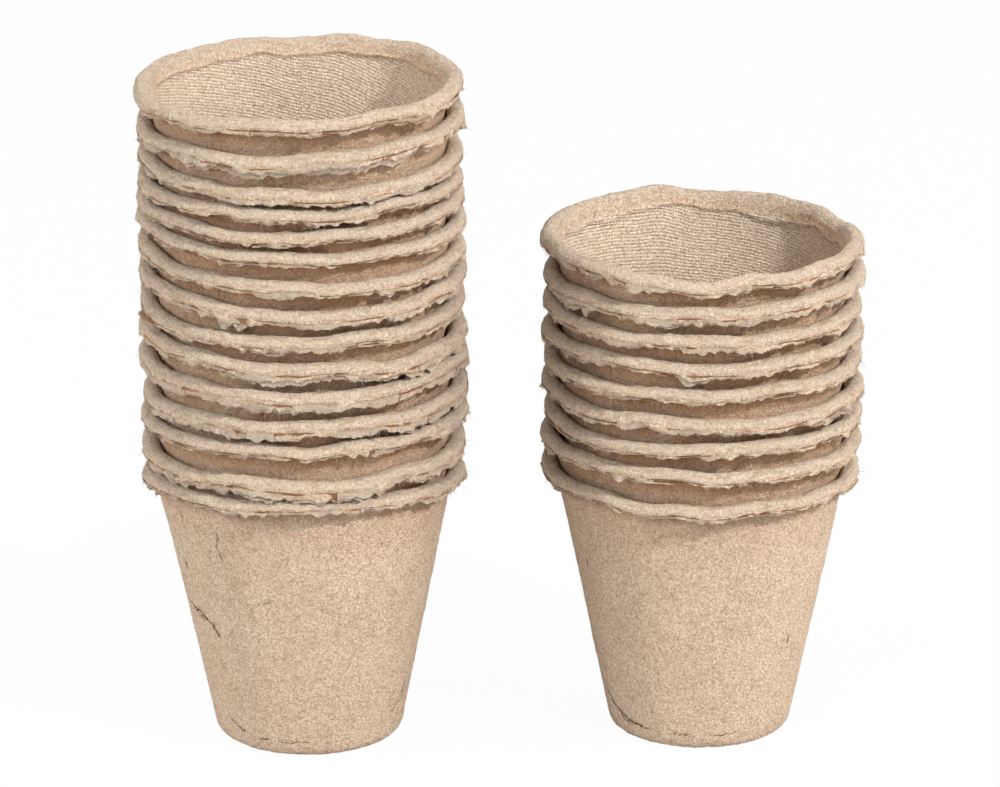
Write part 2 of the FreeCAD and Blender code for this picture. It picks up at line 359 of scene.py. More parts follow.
class Section:
    """Half the section of one pot: a row of points from the middle of the underside to that of the floor."""

    def __init__(self, rim_radius, height, outer_rows, inner_rows):
        across, up = math.cos(LEAN), math.sin(LEAN)
        roll_x, roll_z = rim_radius - ROLL, height - ROLL
        run = (roll_z - FOOT_ROUND + (FOOT_ROUND + ROLL_INSIDE) * up) / across
        foot_x = roll_x - (FOOT_ROUND + ROLL_INSIDE) * across - run * up
        self.height, self.roll_x = height, roll_x
        parts = []
        quarter, half = math.pi / 2, math.pi

        def straight(surface, start, end, normal, count, drop=(0, 0), crowd=1.0):
            share = np.linspace(0, 1, count) ** crowd
            ones = np.ones(count)
            parts.append((
                np.full(count, surface),
                start[0] + (end[0] - start[0]) * share, start[1] + (end[1] - start[1]) * share,
                normal[0] * ones, normal[1] * ones, drop[0] + (drop[1] - drop[0]) * share,
            ))

        def round_part(surface, centre, radius, first, last, side, count):
            angle = np.linspace(first, last, count)
            parts.append((
                np.full(count, surface),
                centre[0] + radius * np.cos(angle), centre[1] + radius * np.sin(angle),
                side * np.cos(angle), side * np.sin(angle), np.zeros(count),
            ))

        def beside(x, z, distance):
            return (x + distance * across, z - distance * up)

        foot, roll = (foot_x, FOOT_ROUND), (roll_x, roll_z)
        lip_back, lip_front = (roll_x + ROLL_INSIDE, roll_z), (roll_x + ROLL, roll_z)
        crowd = CROWDING if inner_rows > ROWS_NESTED else 1.0
        straight(UNDERSIDE, (foot_x * INNERMOST, 0), (foot_x, 0), (0, -1), FLAT_ROWS)
        round_part(OUTER, foot, FOOT_ROUND, -quarter, -LEAN, 1, FOOT_ROWS)
        straight(OUTER, beside(*foot, FOOT_ROUND), beside(*roll, -ROLL_INSIDE), (across, -up), outer_rows)
        round_part(ROLL_UNDER, roll, ROLL_INSIDE, half - LEAN, 0, -1, ROLL_UNDER_ROWS)
        straight(LIP_INNER, lip_back, lip_back, (-1, 0), LIP_INNER_ROWS, (0, 1))
        straight(LIP_OUTER, lip_front, lip_front, (1, 0), LIP_OUTER_ROWS, (1, 0))
        round_part(ROLL_TOP, roll, ROLL, 0, half - LEAN, 1, ROLL_TOP_ROWS)
        straight(INNER, beside(*roll, -ROLL), beside(*foot, FOOT_ROUND - WALL), (-across, up), inner_rows,
                 crowd=crowd)
        round_part(INNER, foot, FOOT_ROUND - WALL, -LEAN, -quarter, -1, FLOOR_ROUND_ROWS)
        straight(FLOOR, (foot_x, WALL), (foot_x * INNERMOST, WALL), (0, 1), FLAT_ROWS)
        # A stretch starts where the one before it ends, except the first one and the outer face of the lip
        kept = [part if not number or part[0][0] == LIP_OUTER else [column[1:] for column in part]
                for number, part in enumerate(parts)]
        self.surface, self.x, self.z, self.out_x, self.out_z, self.drop = (
            np.concatenate(column) for column in zip(*kept)
        )
        lip_guess = 2.0
        steps = np.hypot(np.diff(self.x), np.diff(self.z - self.drop * lip_guess))
        self.along = np.concatenate([[0], np.cumsum(steps)])


class Shape:
    """Points, faces and point values of one piece, gathered part by part."""

    def __init__(self):
        self.points, self.faces, self.spots, self.values, self.crisp = [], [], [], [], []
        self.count = 0

    def add(self, points, faces, cloth=None, crisp=True, **values):
        """Add points in mm with their values, 0 for those left out, and faces of one size."""
        table = np.zeros((len(points), len(KINDS)))
        for kind, value in values.items():
            table[:, KINDS.index(kind)] = value
        self.points.append(points)
        self.values.append(table)
        self.count += len(points)
        self.add_faces(faces, len(points), cloth, crisp)

    def add_faces(self, faces, back, cloth=None, crisp=True):
        """Add faces of one size among the last points, counted from this many points back. cloth holds the
        cloth coordinates of their corners, and crisp faces are shaded flat."""
        faces = np.asarray(faces)
        self.faces.append(faces + self.count - back)
        self.spots.append(np.zeros((*faces.shape, 2)) if cloth is None else cloth)
        self.crisp.append(np.broadcast_to(crisp, len(faces)))

    def make(self, name, material):
        """The Blender object, in metres."""
        mesh = bpy.data.meshes.new(name)
        points = np.concatenate(self.points) * MM
        loops = np.concatenate([block.ravel() for block in self.faces])
        sizes = np.concatenate([np.full(len(block), block.shape[1]) for block in self.faces])
        starts = np.concatenate([[0], np.cumsum(sizes)[:-1]])
        mesh.vertices.add(len(points))
        mesh.vertices.foreach_set("co", points.ravel())
        mesh.loops.add(len(loops))
        mesh.loops.foreach_set("vertex_index", loops.astype(np.int32))
        mesh.polygons.add(len(sizes))
        mesh.polygons.foreach_set("loop_start", starts.astype(np.int32))
        mesh.polygons.foreach_set("use_smooth", ~np.concatenate(self.crisp))
        mesh.update(calc_edges=True)
        cloth = mesh.uv_layers.new(name="cloth")
        cloth.data.foreach_set("uv", np.concatenate([spot.reshape(-1, 2) for spot in self.spots]).ravel())
        values = np.concatenate(self.values)
        for column, kind in enumerate(KINDS):
            layer = mesh.attributes.new(kind, "FLOAT", "POINT")
            layer.data.foreach_set("value", values[:, column].astype(np.float32))
        mesh.validate()
        mesh.materials.append(material)
        return add_object(name, mesh)


def add_object(name, data):
    """A new object in the scene."""
    made = bpy.data.objects.new(name, data)
    bpy.context.scene.collection.objects.link(made)
    return made


def grid_faces(rows, columns, closed=True):
    """Quads of a grid of points whose columns run round and close, or end."""
    row = np.arange(rows - 1)[:, None] * columns
    column = np.arange(columns if closed else columns - 1)[None, :]
    beside = (column + 1) % columns
    corners = [row + column, row + beside, row + columns + beside, row + columns + column]
    return np.stack(corners, -1).reshape(-1, 4)


class Pot:
    """One pot, worked out column by column from its section."""

    def __init__(self, name, rim, seed, lowest, topmost):
        low, high = (np.array(corner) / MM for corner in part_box(name))
        self.name = name
        self.tilt_x, self.tilt_y, self.lip, self.shift = rim
        self.draw = np.random.default_rng(seed)
        self.centre = (low + high)[:2] / 2
        self.base = low[2]
        self.left = self.centre[0] < 0
        self.lowest, self.topmost = lowest, topmost
        self.section = Section(
            (high - low)[0] / 2, high[2] - low[2],
            ROWS_SHOWN if lowest else ROWS_NESTED, ROWS_SHOWN if topmost else ROWS_NESTED,
        )
        self.shape = Shape()
        self.rim_lines()

    def rim_lines(self):
        """The rim's rise and shift, the height of its lip and the curl of the lip's edge, all around."""
        draw = self.draw
        radius = self.section.roll_x + ROLL
        east, north = radius * np.sin(BEARINGS), -radius * np.cos(BEARINGS)
        tilt = north * math.sin(math.radians(self.tilt_x)) - east * math.sin(math.radians(self.tilt_y))
        slow = around(draw, finest=20, coarsest=80)
        quick = around(draw, finest=5, coarsest=14)
        self.rise = tilt + RISE_SLOW * slow + RISE_QUICK * quick
        if self.name in RIM_WAVES:
            self.rise += wave_through(RIM_WAVES[self.name])
        push = PUSH_SLOW * around(draw, finest=25, coarsest=100) + PUSH_QUICK * quick
        self.push = np.clip(push, *PUSH_LIMITS)
        ragged = LIP_RAGGED * around(draw, finest=3.0, coarsest=12)
        ragged = ragged + LIP_FRAYED * around(draw, finest=0.8, coarsest=2.5)
        lip = self.lip + LIP_SLOW * around(draw, finest=14, coarsest=60) + ragged
        self.lip_height = np.clip(lip, ROLL + LIP_LEAST, self.lip + LIP_MOST)
        self.curl = CURL + CURL_SPREAD * around(draw, finest=5, coarsest=25)
        self.dents = np.zeros(COLUMNS)
        for at, depth, half_width in CREASES.get(self.name, []):
            self.dents -= depth * bump_around(at, half_width, radius)

    def warp(self, x, z, bearings, rise, push):
        """Place section points that stand at bearings, with the rim's rise and push fading down the wall."""
        depth = self.section.height - z
        share = 1 - smooth_step(depth, WARP_WHOLE, WARP_DEPTH)
        radius = x + share * push
        east = self.centre[0] + radius * np.sin(bearings) + share * self.shift
        north = self.centre[1] - radius * np.cos(bearings)
        height = self.base + z + share * rise
        if self.left:
            east = east + LEFT_FOOT_SHIFT * np.clip(1 - height / LEFT_FOOT_SHIFT_HEIGHT, 0, 1)
        return np.stack(np.broadcast_arrays(east, north, height), -1)

    def warp_at(self, x, z, bearings):
        """Place section points at any bearings, with the rim's own rise and push there."""
        return self.warp(x, z, bearings, self.rim_at(bearings, self.rise), self.rim_at(bearings, self.push))

    def relief(self):
        """Unevenness of the pulp, straight out of the surface, one row for each section point. It also works
        out the painted shade in its hollows and the groove of the lip."""
        section, draw = self.section, self.draw
        broad = over(draw, section.along, finest=5, coarsest=22)
        small = over(draw, section.along, finest=1.1, coarsest=4)
        wrinkles = over(draw, section.along, finest=0.8, coarsest=3, stretch=4)
        fray = over(draw, section.along, finest=0.7, coarsest=2.0, stretch=2)
        groove = np.clip(GROOVE_MEAN + around(draw, finest=8, coarsest=50), 0, GROOVE_MOST)

        on_rim = np.isin(section.surface, (LIP_INNER, LIP_OUTER, ROLL_TOP, ROLL_UNDER))[:, None]
        rim = RIM_BROAD * broad + RIM_SMALL * small + RIM_WRINKLES * wrinkles
        relief = np.where(on_rim, rim, WALL_BROAD * broad + WALL_SMALL * small)
        relief[section.surface == UNDERSIDE] *= UNDERSIDE_RELIEF

        def hollow_shade(form, painted_shade, start):
            return painted_shade * np.clip(-form - start, 0, DEEPEST_HOLLOW)

        self.hollow_shade = np.where(on_rim, hollow_shade(wrinkles, *RIM_HOLLOW_SHADE), hollow_shade(small, *WALL_HOLLOW_SHADE))

        drop = section.drop[:, None]
        outer_lip, inner_lip = (section.surface == kind for kind in (LIP_OUTER, LIP_INNER))
        edge = outer_lip | inner_lip
        relief[edge] += FRAY * (fray * drop**3)[edge]
        self.groove = groove * np.exp(-(((drop - GROOVE_PLACE) / GROOVE_WIDTH) ** 2))
        relief[outer_lip] -= GROOVE_DEPTH * self.groove[outer_lip]
        dents = self.dents * (CREASE_SHARE + (1 - CREASE_SHARE) * drop)
        relief[outer_lip] += dents[outer_lip]
        relief[inner_lip] -= dents[inner_lip]
        relief[section.surface == ROLL_TOP] += CREASE_SHARE * self.dents
        relief[section.surface == ROLL_UNDER] -= CREASE_SHARE * self.dents
        return relief

    def shell_points(self):
        """The points of the shell, one row for each section point."""
        section = self.section
        surface, drop = section.surface[:, None], section.drop[:, None]
        relief = self.relief()
        x = section.x[:, None] + section.out_x[:, None] * relief
        z = section.z[:, None] + section.out_z[:, None] * relief
        z = z - drop * (self.lip_height - ROLL)
        x = x - self.curl * drop**2
        x = x + np.where(surface == LIP_INNER, LIP_TAPER * WALL * drop, 0)
        if self.topmost:
            depth = section.height - section.z[:, None]
            edge = wave_through(RIDGES.get(self.name, PLAIN_RIDGE))
            edge = edge + RIDGE_SPREAD * around(self.draw, finest=14, coarsest=70)
            bead = BEAD * (1 - smooth_step(depth, edge + BEAD_END[0], edge + BEAD_END[1]))
            bead = bead * smooth_step(depth, *BEAD_RISE)
            ridge = BEAD * np.exp(-(((depth - edge) / RIDGE_WIDTH) ** 2))
            x = x - np.where(surface == INNER, bead + ridge, 0)
        points = self.warp(x, z, BEARINGS, self.rise, self.push)
        under = section.surface == UNDERSIDE
        points[under, :, 2] = np.maximum(points[under, :, 2], self.base)
        return points

    def shell_values(self):
        """How torn and printed each point of the shell is, and how much shade is painted on it, once its
        relief is worked out.
        """
        section = self.section
        surface, drop = section.surface[:, None], section.drop[:, None]
        depth = section.height - section.z[:, None]
        torn = np.isin(surface, (LIP_INNER, LIP_OUTER)) * smooth_step(drop, TORN_FROM, 1.0)
        torn = torn + np.where(surface == ROLL_TOP, TORN_ROLL, 0)
        twill = np.where(surface == INNER, smooth_step(depth, *TWILL_DEPTHS), 0)
        twill = twill + np.where(surface == FLOOR, 1.0, 0) + np.where(surface == ROLL_TOP, TWILL_ROLL, 0)
        # Painted shade on the outer wall under the lip, darkest just below it
        below = depth - self.lip_height
        painted_shade = sum(share * (1 - smooth_step(below, whole, faded)) for share, whole, faded in WALL_PAINTED_SHADE)
        painted_shade = (LOWEST_PAINTED_SHADE if self.lowest else NESTED_PAINTED_SHADE) * painted_shade
        # Painted shade under the roll and on the back of the lip, fading towards its edge
        lip_back_shade = np.isin(surface, (ROLL_UNDER, LIP_INNER)) * (1 - LIP_SHADE_FADE * drop)
        shade = np.where(surface == OUTER, painted_shade, lip_back_shade)
        # Painted shade in the groove of the lip
        shade = shade + np.where(surface == LIP_OUTER, GROOVE_PAINTED_SHADE * self.groove, 0)
        # Painted shade in the hollows of the relief, less of it on smooth surfaces
        smooth = np.isin(surface, (UNDERSIDE, INNER, FLOOR))
        shade = shade + np.where(smooth, SMOOTH_HOLLOW_SHADE, 1.0) * self.hollow_shade
        # Painted shade on the inner wall on the right, which faces away from the key lamp
        share, start, whole = RIGHT_PAINTED_SHADE
        shade = shade + np.where(surface == INNER, share * smooth_step(np.sin(BEARINGS), start, whole), 0)
        return {"torn": torn, "twill": twill, "shade": np.clip(shade, 0, 1)}

    def add_shell(self):
        """The pot itself: one closed skin."""
        section = self.section
        rows = section.x.size
        points = self.shell_points()
        every = np.concatenate([points.reshape(-1, 3), np.stack([points[0].mean(0), points[-1].mean(0)])])
        values = {
            kind: np.append(np.broadcast_to(value, (rows, COLUMNS)), (0, 0))
            for kind, value in self.shell_values().items()
        }
        column = np.arange(COLUMNS)
        u = np.stack([column, column + 1, column + 1, column], -1)[None] * TURN / COLUMNS * CLOTH_RADIUS
        lower, upper = section.along[:-1], section.along[1:]
        v = np.stack([lower, lower, upper, upper], -1)[:, None]
        slant = LEFT_TWILL_SLANT if self.left else RIGHT_TWILL_SLANT
        cloth = np.stack(np.broadcast_arrays(u, v + slant * u), -1).reshape(-1, 4, 2)
        crisp = np.repeat(section.drop[:-1] + section.drop[1:] > FLAT_FROM, COLUMNS)
        self.shape.add(every, grid_faces(rows, COLUMNS), cloth, crisp, **values)
        after = (column + 1) % COLUMNS
        last = (rows - 1) * COLUMNS
        under = np.stack([np.full(COLUMNS, rows * COLUMNS), after, column], -1)
        floor = np.stack([np.full(COLUMNS, rows * COLUMNS + 1), last + column, last + after], -1)
        self.shape.add_faces(np.concatenate([under, floor]), len(every), crisp=False)

    def rim_at(self, bearing, line):
        """The value of a line around the rim at one bearing or several, in radians."""
        place = (np.asarray(bearing) + math.pi) / TURN * COLUMNS
        low = np.floor(place).astype(int)
        part = place - low
        return line[low % COLUMNS] * (1 - part) + line[(low + 1) % COLUMNS] * part

    def add_skirt(self, first, last, drop, flare, top=ROLL + 0.3, out=-0.35 * WALL, rows=8):
        """A torn sheet of pulp on the lip, drop mm past its edge. It hangs from a depth top under the rim,
        out mm over the lip's outer face, and bends outwards by flare."""
        draw, section = self.draw, self.section
        radius = section.roll_x + ROLL
        width = math.radians(last - first) * radius
        columns = max(int(width / SHEET_SPACING), SHEET_COLUMNS)
        share = np.linspace(0, 1, columns)
        bearings = math.radians(first) + share * math.radians(last - first)
        knots = np.linspace(0, 1, max(int(width / KNOT_SPACING), SHEET_KNOTS))
        slow = np.interp(share, knots, draw.uniform(0.3, 1.0, knots.size))
        teeth = columns // TOOTH_COLUMNS + SHEET_TEETH
        jagged = np.interp(share, np.sort(draw.random(teeth)), draw.uniform(-0.6, 0.5, teeth))
        jagged = jagged + draw.normal(0, SHEET_ROUGH, columns)
        jagged = jagged * np.interp(share, knots, draw.random(knots.size))
        ends = np.minimum(share, 1 - share) * width
        hang = drop * slow * smooth_step(ends, 0, SHEET_ENDS)
        hang = hang + TOOTH_DEPTH * jagged * np.clip(abs(drop), *TOOTH_DROPS) - TEAR_BACK
        lip = self.rim_at(bearings, self.lip_height)
        down = np.linspace(0, 1, rows)[:, None]
        bottom = np.maximum(lip + hang, top + SHEET_LEAST)
        z = section.height - top - down * (bottom - top)
        crinkle = np.interp(share, np.sort(draw.random(teeth)), draw.normal(0, CRINKLE, teeth))
        past = down**2 if out > 0 else smooth_step(section.height - z, lip - 0.6, lip + 0.4)
        curl = self.rim_at(bearings, self.curl)
        x = radius + out * smooth_step(down, 0, 0.4) - 0.1 - curl * np.minimum(down * 1.1, 1) ** 2
        x = x + past * (flare * down + crinkle + draw.normal(0, SHEET_ROUGH, (rows, columns)))
        thick = SHEET_THICK - SHEET_LOSS * down
        level = section.height - WARP_WHOLE
        sides = []
        for half in (thick / 2, -thick / 2):
            side = self.warp_at(x + half, np.maximum(z, level), bearings)
            side[..., 2] += np.minimum(z - level, 0)
            sides.append(side.reshape(-1, 3))
        outside = grid_faces(rows, columns, closed=False)[:, ::-1]
        inside = grid_faces(rows, columns, closed=False) + rows * columns
        index = np.arange(rows * columns).reshape(rows, columns)
        loop = np.concatenate([index[0, :], index[1:, -1], index[-1, -2::-1], index[-2:0:-1, 0]])
        after = np.roll(loop, -1)
        border = np.stack([loop, after, after + rows * columns, loop + rows * columns], -1)
        faces = np.concatenate([outside, inside, border])
        # Shade painted on the sheet where it comes out under the lip, or along the root of a flake
        if out > 0:
            shade = FLAKE_PAINTED_SHADE * (1 - smooth_step(down, 0, 0.35)) + np.zeros(columns)
        else:
            shade = SHEET_PAINTED_SHADE * (1 - smooth_step(section.height - z - lip, -0.1, 0.5))
        self.shape.add(np.concatenate(sides), faces, torn=1.0, shade=np.tile(shade.ravel(), 2))

    def add_flakes(self, count):
        """Small torn sheets that peel off the outer face of the lip all around."""
        draw = self.draw
        for _ in range(count):
            first, span = draw.uniform(-180, 180), draw.gamma(2.0, 3.5) + 2
            top = ROLL + draw.uniform(0.0, 1.1)
            self.add_skirt(
                first, first + span, drop=draw.uniform(-0.7, 0.5), flare=draw.uniform(0.0, 0.28),
                top=top, out=draw.uniform(0.08, 0.24), rows=5,
            )

    def edge_point(self, bearing, down, out=0.0):
        """A point on the outer face of the lip: down is 0 at the roll and 1 at its edge."""
        section = self.section
        lip = self.rim_at(bearing, self.lip_height)
        x = section.roll_x + ROLL - self.rim_at(bearing, self.curl) * down**2 + out
        x = x + self.rim_at(bearing, self.dents)
        point = self.warp_at(x, section.height, bearing)
        point[..., 2] -= ROLL + down * (lip - ROLL)
        return point

    def wall_point(self, bearing, height, out=0.0):
        """A point on the outer wall, at a height over the foot."""
        section = self.section
        rows = section.surface == OUTER
        x = np.interp(height, section.z[rows], section.x[rows]) + out
        return self.warp_at(x, height, bearing)

    def add_fibres(self, starts, headings, lengths, radius, bend, crack=0.0):
        """Loose fibres that start at points, head off and bend as they go."""
        draw, count, steps = self.draw, len(starts), FIBRE_STEPS
        turn = draw.normal(0, bend, (count, 3))
        share = np.linspace(0, 1, steps)
        path = np.empty((count, steps, 3))
        path[:, 0] = starts
        heading = unit(headings)
        for step in range(1, steps):
            heading = unit(heading + turn * 0.35 + draw.normal(0, bend * 0.25, (count, 3)))
            path[:, step] = path[:, step - 1] + heading * (lengths / (steps - 1))[:, None]
        path[..., 2] = np.maximum(path[..., 2], self.base + 2 * radius)
        girth = radius * draw.uniform(0.6, 1.3, (count, 1)) * (1.1 - 0.7 * share)
        self.add_tubes(path, girth, crack)

    def add_tubes(self, path, girth, crack=0.0):
        """Thin three-sided tubes along paths, with a girth at each step and one darkness for each tube."""
        count, steps = path.shape[:2]
        along = unit(np.gradient(path, axis=1))
        side = unit(np.cross(along, np.array(ASLANT)))
        other = np.cross(along, side)
        wide = girth[..., None]
        turns = (0, TURN / 3, 2 * TURN / 3)
        rings = [path + wide * (math.cos(turn) * side + math.sin(turn) * other) for turn in turns]
        points = np.stack(rings, 2).reshape(-1, 3)
        one = grid_faces(steps, 3)
        caps = np.array([[0, 2, 1], [3 * steps - 3, 3 * steps - 2, 3 * steps - 1]])
        offset = (np.arange(count) * 3 * steps)[:, None, None]
        sides = (one[None] + offset).reshape(-1, 4)
        dark = np.repeat(np.broadcast_to(crack, count), 3 * steps)
        self.shape.add(points, sides, torn=1.0, crack=dark, crisp=False)
        self.shape.add_faces((caps[None] + offset).reshape(-1, 3), len(points))

    def add_cracks(self):
        """Thin dark cracks in the outer wall, each with a pale edge pushed up over it."""
        draw = self.draw
        for points, half_width in CRACKS.get(self.name, []):
            turns, heights = (np.array(column) for column in zip(*points))
            turns = np.radians(turns)
            run = np.hypot(np.diff(turns) * self.section.roll_x * 0.7, np.diff(heights))
            reached = np.concatenate([[0], np.cumsum(run)])
            steps = max(int(reached[-1] / CRACK_STEP), 6)
            place = np.linspace(0, reached[-1], steps)
            turn = np.interp(place, reached, turns)
            turn = turn + draw.normal(0, CRACK_WANDER, steps) / self.section.roll_x
            height = np.interp(place, reached, heights) + draw.normal(0, CRACK_WANDER, steps)
            taper = np.minimum(1, 4 * np.minimum(place, reached[-1] - place) / reached[-1] + 0.15)
            girth = (1.5 * half_width * taper * draw.uniform(0.5, 1.3, steps))[None]
            crack = self.wall_point(turn, height, -0.4 * half_width)
            edge = self.wall_point(turn, height + 1.3 * half_width, -0.1 * half_width)
            self.add_tubes(crack[None], girth, 1.0)
            self.add_tubes(edge[None], 0.7 * girth)

    def add_edge_fibres(self, count):
        """Fibres along the torn edge of the lip, more of them at skirts and creases."""
        draw = self.draw
        spots = list(draw.uniform(-math.pi, math.pi, count))
        for first, last, drop, _ in SKIRTS.get(self.name, []):
            spots += list(np.radians(draw.uniform(first, last, int((last - first) * (0.5 + 0.5 * drop)))))
        for at, depth, _ in CREASES.get(self.name, []):
            spots += list(np.radians(draw.normal(at, 1.5, int(14 * depth) + 4)))
        bearings = np.array(spots)
        starts = self.edge_point(bearings, draw.uniform(0.75, 1.05, bearings.size), -0.1)
        headings = (
            outwards(bearings) * draw.normal(0.12, 0.3, (bearings.size, 1))
            + sideways(bearings) * draw.normal(0, 1.0, (bearings.size, 1))
            + np.array([0, 0, 1]) * draw.normal(-0.55, 0.4, (bearings.size, 1))
        )
        lengths = np.minimum(draw.gamma(3.0, 0.38, bearings.size) + 0.4, 3.5)
        self.add_fibres(starts, headings, lengths, radius=0.055, bend=0.5)

    def add_wall_fibres(self, count):
        """Fibres that lie on the outer wall, half sunk in it."""
        draw = self.draw
        bearings = draw.uniform(-math.pi, math.pi, count)
        heights = draw.uniform(4, self.section.height - 6, count)
        starts = self.wall_point(bearings, heights, 0.02)
        headings = sideways(bearings) * draw.normal(0, 1, (count, 1))
        headings = headings + np.array([0, 0, 1]) * draw.normal(0, 1, (count, 1))
        dark = draw.choice([0.0, 0.0, 0.35, 0.6], count)
        lengths = np.minimum(draw.gamma(3.0, 0.45, count) + 0.5, 4.0)
        self.add_fibres(starts, headings, lengths, radius=0.05, bend=0.18, crack=dark)

    def add_crumbs(self, count):
        """Small clots of pulp along the torn edge."""
        draw, rings, sides = self.draw, 5, 7
        bearings = draw.uniform(-math.pi, math.pi, count)
        spots = self.edge_point(bearings, draw.uniform(0.8, 1.02, count), -0.12)
        sizes = draw.gamma(3.0, 0.05, count) + 0.08
        polar = np.linspace(0.12, math.pi - 0.12, rings)
        turn = np.arange(sides) / sides * TURN
        ball = np.stack([
            np.sin(polar)[:, None] * np.cos(turn), np.sin(polar)[:, None] * np.sin(turn),
            np.cos(polar)[:, None] + 0 * turn,
        ], -1).reshape(-1, 3)
        lumps = draw.uniform(0.6, 1.35, (count, rings * sides, 1))
        stretch = draw.uniform(0.6, 1.5, (count, 1, 3))
        points = (spots[:, None] + ball * lumps * stretch * sizes[:, None, None]).reshape(-1, 3)
        offset = (np.arange(count) * rings * sides)[:, None, None]
        quads = (grid_faces(rings, sides)[None, :, ::-1] + offset).reshape(-1, 4)
        self.shape.add(points, quads, torn=1.0)
        caps = np.stack([np.arange(sides), np.arange(sides)[::-1] + (rings - 1) * sides])
        self.shape.add_faces((caps[None] + offset).reshape(-1, sides), len(points))

    def make(self, material):
        """The finished pot, in place of its solid."""
        self.add_shell()
        for skirt in SKIRTS.get(self.name, []):
            self.add_skirt(*skirt)
        for _ in range(BACK_SKIRTS):
            first = self.draw.uniform(70, 290)
            last = first + self.draw.uniform(6, 30)
            self.add_skirt(first, last, drop=self.draw.uniform(0.4, 1.2), flare=0.15)
        self.add_skirt(-180, 180, drop=0.45, flare=0.05, rows=6)
        self.add_flakes(FLAKES)
        self.add_edge_fibres(EDGE_FIBRES)
        self.add_crumbs(CRUMBS)
        self.add_cracks()
        self.add_wall_fibres(LOWEST_WALL_FIBRES if self.lowest else NESTED_WALL_FIBRES)
        piece = self.shape.make(f"{self.name}_fibre", material)
        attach(piece, self.name)
        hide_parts(self.name)
class Nodes:
    """The nodes of a material or a world, made and joined in short calls."""

    def __init__(self, owner):
        owner.use_nodes = True
        self.tree = owner.node_tree
        self.tree.nodes.clear()

    def feed(self, socket, value):
        """Join an output to a socket, or set the socket to a plain value."""
        if isinstance(value, bpy.types.NodeSocket):
            self.tree.links.new(value, socket)
        else:
            socket.default_value = value

    def node(self, kind, **settings):
        made = self.tree.nodes.new(kind)
        for key, value in settings.items():
            setattr(made, key, value)
        return made

    def put(self, node, **inputs):
        """Set or join inputs by name, with underscores for spaces."""
        for key, value in inputs.items():
            self.feed(node.inputs[key.replace("_", " ")], value)
        return node

    def math(self, operation, *values):
        made = self.node("ShaderNodeMath", operation=operation)
        for socket, value in zip(made.inputs, values):
            self.feed(socket, value)
        return made.outputs[0]

    def noise(self, place, size_mm, detail=3.0, rough=0.55, warp=0.0):
        """Noise whose main features are about this size."""
        made = self.node("ShaderNodeTexNoise")
        self.put(made, Vector=place, Scale=1 / (size_mm * MM))
        self.put(made, Detail=detail, Roughness=rough, Distortion=warp)
        return made.outputs["Fac"]

    def ramp(self, value, low, high):
        """0 to 1 as a value goes from low to high."""
        made = self.node("ShaderNodeMapRange", interpolation_type="SMOOTHSTEP")
        self.put(made, Value=value, From_Min=low, From_Max=high)
        return made.outputs["Result"]

    def blend(self, share, first, second):
        """One colour turned into another by a share."""
        made = self.node("ShaderNodeMix", data_type="RGBA")
        for number, value in ((0, share), (6, first), (7, second)):
            self.feed(made.inputs[number], (*value, 1) if isinstance(value, tuple) else value)
        return made.outputs[2]

    def tint(self, colour, mask, share, towards):
        """A colour turned towards another by this share wherever a mask is 1."""
        return self.blend(self.math("MULTIPLY", mask, share), colour, towards)

    def seen(self):
        """1 for what the camera sees, straight, in gloss or through glass, and 0 for light on the object."""
        path = self.node("ShaderNodeLightPath")
        seen = self.math("MAXIMUM", path.outputs["Is Camera Ray"], path.outputs["Is Glossy Ray"])
        return self.math("MAXIMUM", seen, path.outputs["Is Transmission Ray"])
# Colours of the dry pulp, linear, and the brown of the shade that is painted into it
PALE = (0.790, 0.640, 0.500)
TAN = (0.690, 0.522, 0.378)
BROWN = (0.340, 0.205, 0.112)
# Brown of painted shade, for the gaps under lips and other shaded spots
PAINTED_SHADE_COLOUR = (0.300, 0.095, 0.000)
SPECK = (0.170, 0.085, 0.040)
DEEP = (0.150, 0.055, 0.020)
INSIDE = (0.880, 0.780, 0.660)
RIM = (0.900, 0.745, 0.580)
# Print of the cloth: pitch of its two sets of ribs in mm, and how much the main set falls per mm to the right
TWILL_PITCH, TWILL_CROSS_PITCH = 0.80, 0.70
LEFT_TWILL_SLANT, RIGHT_TWILL_SLANT = 0.26, 0.10
# Strength of the cross ribs, and how far both sets wander, in mm
TWILL_CROSS, TWILL_WANDER = 0.28, 0.6
# Size of the pebbles of the felt and depth of the finest relief, in mm
PEBBLE_SIZE, BUMP_DEPTH = 0.65, 0.95


